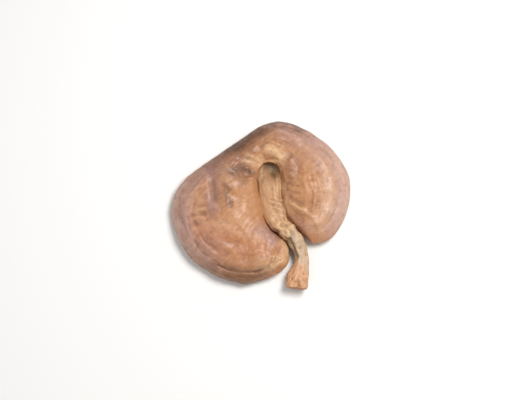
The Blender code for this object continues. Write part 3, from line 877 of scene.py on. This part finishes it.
def tinted(tree, ground, sources, tints):
    """Mixes colours into the ground in turn, each by a source or else by what the mesh stores."""
    colour = linear(ground)
    for name, start, end, strength, hex_colour in tints:
        by = sources.get(name)
        if by is None:
            by = add_node(tree, "ShaderNodeAttribute", {}, attribute_name=name).outputs["Fac"]
        share = add_node(
            tree, "ShaderNodeMapRange",
            {"Value": by, "From Min": start, "From Max": end, "To Min": 0.0, "To Max": strength},
        ).outputs["Result"]
        colour = add_node(
            tree, "ShaderNodeMix",
            {MIX_FACTOR: share, MIX_A: colour, MIX_B: linear(hex_colour)}, data_type="RGBA",
        ).outputs[MIX_RESULT]
    return colour


# Laccate crust of a bracket fungus: thin resinous shell, grown in zones, dried and dusted with its
# own cocoa-brown spores. It reads as satin varnish where rubbed and as dull felt where dust lies.
# Its tints in turn: what they follow, the values between which they come in, strength and colour
CRUST_GOLD = "#c18a5c"
CRUST_TINTS = (
    ("clouds", 0.4, 0.65, 0.5, "#bb7c51"),
    ("orange", 0.0, 1.0, 1.0, "#c07b4f"),
    ("rust", 0.0, 1.0, 1.0, "#93603f"),
    ("pink", 0.0, 1.0, 1.0, "#b48d82"),
    ("blush", 0.0, 1.0, 1.0, "#cfae9e"),
    ("purple", 0.0, 1.0, 1.0, "#9c746c"),
    # pale strokes: partly the crust's own cream and paler margin, partly painted light and highlights
    ("pale", 0.0, 1.0, 1.0, "#e0b588"),
    ("blotches", 0.45, 0.75, 0.45, "#a27155"),
    ("growth", -0.05, -0.9, 0.35, "#d6a98c"),
    ("growth", 0.05, 0.9, 0.5, "#7c543f"),
    ("flecks", 0.45, 0.2, 0.3, "#d6a074"),
    ("flecks", 0.55, 0.8, 0.4, "#80523a"),
    ("fibres", 0.5, 0.75, 0.2, "#7c5139"),
    ("threads", 0.5, 0.25, 0.15, "#dcaa86"),
    ("threads", 0.5, 0.75, 0.2, "#85583f"),
    # dark strokes: the crust's own scars, and painted shade along some edges and rims
    ("dark_and_painted_shade", 0.0, 1.0, 1.0, "#4e311b"),
    # painted shade darkens the creases and painted light lightens the ridges, by how far each point lies
    # below or above what is round it
    ("painted_crease_shade_ridge_light", 0.1, 1.0, 0.5, "#6a432c"),
    ("painted_crease_shade_ridge_light", -0.1, -1.0, 0.25, "#deb088"),
)
# Fibres run from the notch outwards and threads along the margin: pitch round it and across it
FIBRE_PITCH = (2.6, 7.0)
THREAD_PITCH = (14.0, 1.8)
FIBRE_BENDING = 1.2


def crust_material():
    """Varnished crust with its tones, growth lines and fibres, dusted in blotches and flecked, with
    painted shade in its creases and painted light on its ridges.
    """
    material, tree, shader, place = new_material(
        "laccate_spore_dusted_crust", 0.55, 1.5, coat=0.15, coat_roughness=0.25
    )
    # Clouds of orange 16 mm across, blotches of spore dust 7 mm, and flecks and rubbed spots 2.5 mm
    clouds = add_node(
        tree, "ShaderNodeTexNoise",
        {"Vector": place, "Scale": 1 / (16 * MM), "Detail": 3.0, "Roughness": 0.6},
    ).outputs["Fac"]
    blotches = add_node(
        tree, "ShaderNodeTexNoise",
        {"Vector": place, "Scale": 1 / (7 * MM), "Detail": 4.0, "Roughness": 0.6},
    ).outputs["Fac"]
    flecks = add_node(
        tree, "ShaderNodeTexNoise",
        {"Vector": place, "Scale": 1 / (2.5 * MM), "Detail": 2.0, "Roughness": 0.5},
    ).outputs["Fac"]
    sources = {"clouds": clouds, "blotches": blotches, "flecks": flecks}
    round_margin = add_node(tree, "ShaderNodeAttribute", {}, attribute_name="round_margin").outputs["Fac"]
    from_margin = add_node(tree, "ShaderNodeAttribute", {}, attribute_name="from_margin").outputs["Fac"]
    plan = add_node(tree, "ShaderNodeCombineXYZ", {"X": round_margin, "Y": from_margin}).outputs["Vector"]
    for name, (pitch_round, pitch_across) in {"fibres": FIBRE_PITCH, "threads": THREAD_PITCH}.items():
        drawn_out = add_node(
            tree, "ShaderNodeVectorMath",
            {0: plan, 1: (1 / pitch_round, 1 / pitch_across, 1.0)}, operation="MULTIPLY",
        ).outputs["Vector"]
        sources[name] = add_node(
            tree, "ShaderNodeTexNoise",
            {"Vector": drawn_out, "Scale": 1.0, "Detail": 3.0, "Distortion": FIBRE_BENDING},
        ).outputs["Fac"]
    tree.links.new(tinted(tree, CRUST_GOLD, sources, CRUST_TINTS), shader.inputs["Base Color"])
    rough = add_node(
        tree, "ShaderNodeMapRange",
        {"Value": blotches, "From Min": 0.35, "From Max": 0.7, "To Min": 0.42, "To Max": 0.66},
    ).outputs["Result"]
    tree.links.new(rough, shader.inputs["Roughness"])
    # Leathery grain, 1.1 mm
    grain = add_node(
        tree, "ShaderNodeTexNoise",
        {"Vector": place, "Scale": 1 / (1.1 * MM), "Detail": 3.0, "Roughness": 0.6},
    ).outputs["Fac"]
    bump = add_node(tree, "ShaderNodeBump", {"Height": grain, "Strength": 0.5, "Distance": 0.25 * MM})
    tree.links.new(bump.outputs["Normal"], shader.inputs["Normal"])
    return material


# Pore layer of a dried bracket: millions of tube mouths, buff when young and browned by handling.
# It reads as matt kid leather.
PORE_BUFF = "#cfac84"
PORE_TINTS = (
    ("bruises", 0.45, 0.7, 0.6, "#a3805c"),
    ("growth", 0.02, 0.6, 0.5, "#97734f"),
    ("mouths", 0.4, 0.12, 0.5, "#8c6a4c"),
)


def pore_material():
    """Buff pore layer. Real pores are 0.2 mm apart and are drawn 1.2 mm apart, so that they show."""
    material, tree, shader, place = new_material("buff_pore_layer", 0.8, 1.45)
    mouths = add_node(
        tree, "ShaderNodeTexVoronoi", {"Vector": place, "Scale": 1 / (1.2 * MM)}
    ).outputs["Distance"]
    # Bruises from handling, 20 mm across
    bruises = add_node(
        tree, "ShaderNodeTexNoise",
        {"Vector": place, "Scale": 1 / (20 * MM), "Detail": 4.0, "Roughness": 0.6},
    ).outputs["Fac"]
    sources = {"mouths": mouths, "bruises": bruises}
    tree.links.new(tinted(tree, PORE_BUFF, sources, PORE_TINTS), shader.inputs["Base Color"])
    bump = add_node(tree, "ShaderNodeBump", {"Height": mouths, "Strength": 0.6, "Distance": 0.3 * MM})
    tree.links.new(bump.outputs["Normal"], shader.inputs["Normal"])
    return material


# Rind of a reishi stem: the same resinous skin, thin and dull here, over corky flesh that shrank
# into furrows. It reads as waxy tan bark.
RIND_TAN = "#bb8e66"
RIND_TINTS = (
    ("mottle", 0.45, 0.75, 0.6, "#a97a57"),
    ("cream", 0.0, 1.0, 1.0, "#d3ae7f"),
    # painted sheen on the lower stem
    ("painted_sheen", 0.0, 1.0, 1.0, "#c6ae93"),
    ("orange", 0.0, 1.0, 1.0, "#d29a72"),
    # brown strokes: the stem's own streaks, and painted shade in the hollow under the lip and in the
    # cleft
    ("brown_and_painted_shade", 0.0, 1.0, 1.0, "#5d4a30"),
    ("streaks", 0.1, 0.8, 0.35, "#8a6344"),
    ("streaks", -0.1, -0.8, 0.15, "#dcb88f"),
    # painted shade darkens the furrows and painted light lightens the knobs, by how far each point lies
    # below or above what is round it
    ("painted_crease_shade_ridge_light", 0.15, 1.0, 0.5, "#83593a"),
    ("painted_crease_shade_ridge_light", -0.1, -1.0, 0.45, "#e3bc92"),
)


def rind_material():
    """Tan rind, with painted shade in its furrows and painted light on its knobs."""
    material, tree, shader, place = new_material(
        "furrowed_stem_rind", 0.55, 1.5, coat=0.08, coat_roughness=0.4
    )
    # Mottling, 5 mm across
    mottle = add_node(
        tree, "ShaderNodeTexNoise",
        {"Vector": place, "Scale": 1 / (5 * MM), "Detail": 4.0, "Roughness": 0.6},
    ).outputs["Fac"]
    tree.links.new(tinted(tree, RIND_TAN, {"mottle": mottle}, RIND_TINTS), shader.inputs["Base Color"])
    grain = add_node(
        tree, "ShaderNodeTexNoise",
        {"Vector": place, "Scale": 1 / (0.9 * MM), "Detail": 3.0, "Roughness": 0.6},
    ).outputs["Fac"]
    bump = add_node(tree, "ShaderNodeBump", {"Height": grain, "Strength": 0.5, "Distance": 0.25 * MM})
    tree.links.new(bump.outputs["Normal"], shader.inputs["Normal"])
    return material


# Cut face of the dried stem: open corky fibres, sawn across. It reads as rough dry cork.
CORK_ORANGE = "#c8946e"
CORK_TINTS = (
    ("from_core", 0.35, 0.0, 0.5, "#dbb48e"),
    ("from_core", 0.8, 0.97, 0.8, "#8a5c40"),
    ("fibres", 0.45, 0.7, 0.8, "#8f6043"),
)


def cut_material():
    """Corky cut face, with fibre ends 0.9 mm apart."""
    material, tree, shader, place = new_material("corky_cut_face", 0.9, 1.4)
    fibres = add_node(
        tree, "ShaderNodeTexNoise",
        {"Vector": place, "Scale": 1 / (0.9 * MM), "Detail": 3.0, "Roughness": 0.7},
    ).outputs["Fac"]
    tree.links.new(tinted(tree, CORK_ORANGE, {"fibres": fibres}, CORK_TINTS), shader.inputs["Base Color"])
    bump = add_node(tree, "ShaderNodeBump", {"Height": fibres, "Strength": 0.8, "Distance": 0.4 * MM})
    tree.links.new(bump.outputs["Normal"], shader.inputs["Normal"])
    return material


def floor_material():
    """Plain pale board."""
    material, _, shader, _ = new_material("pale_floor", 0.9, 1.45)
    shader.inputs["Base Color"].default_value = linear(FLOOR_COLOUR)
    return material


def add_piece(mesh, node):
    """Adds a piece that stands for a solid of the frame, hangs it from the root body, and hides that
    solid.
    """
    piece = bpy.data.objects.new(mesh.name, mesh)
    bpy.context.scene.collection.objects.link(piece)
    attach(piece, "root")
    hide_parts(node)
    return piece


def add_floor():
    """The floor that the object rests on."""
    half = FLOOR_SIZE / 2
    mesh = bpy.data.meshes.new("floor")
    corners = [(-half, -half, 0.0), (half, -half, 0.0), (half, half, 0.0), (-half, half, 0.0)]
    mesh.from_pydata(corners, [], [(0, 1, 2, 3)])
    mesh.materials.append(floor_material())
    floor = bpy.data.objects.new("floor", mesh)
    bpy.context.scene.collection.objects.link(floor)


def add_lights():
    """Soft boxes and an even pale sky."""
    for name, place, size, power in SOFT_BOXES:
        light = bpy.data.lights.new(name, "AREA")
        light.shape = "SQUARE"
        light.size = size
        light.energy = power
        lamp = bpy.data.objects.new(name, light)
        lamp.location = place
        lamp.rotation_euler = (-Vector(place)).to_track_quat("-Z", "Y").to_euler()
        bpy.context.scene.collection.objects.link(lamp)
    sky = bpy.data.worlds.new("studio")
    sky.use_nodes = True
    background = sky.node_tree.nodes["Background"]
    background.inputs["Color"].default_value = linear(SKY_COLOUR)
    background.inputs["Strength"].default_value = SKY_STRENGTH
    bpy.context.scene.world = sky


def add_camera():
    """A long lens at the distance that gives the photograph's scale."""
    data = bpy.data.cameras.new("camera")
    data.lens = CAMERA_LENS
    data.sensor_width = CAMERA_SENSOR
    distance = IMAGE_WIDTH * MM_PER_PIXEL * MM * CAMERA_LENS / CAMERA_SENSOR
    lift = math.radians(CAMERA_ELEVATION)
    back = Vector((0.0, -math.cos(lift), math.sin(lift)))
    camera = bpy.data.objects.new("camera", data)
    camera.location = Vector(IMAGE_MIDDLE) * MM + back * distance
    camera.rotation_euler = (-back).to_track_quat("-Z", "Y").to_euler()
    bpy.context.scene.collection.objects.link(camera)
    bpy.context.scene.camera = camera


add_piece(make_cap(), "cap")
add_piece(make_stem(), "stem")
add_floor()
add_lights()
add_camera()
bpy.context.scene.view_settings.view_transform = "Standard"
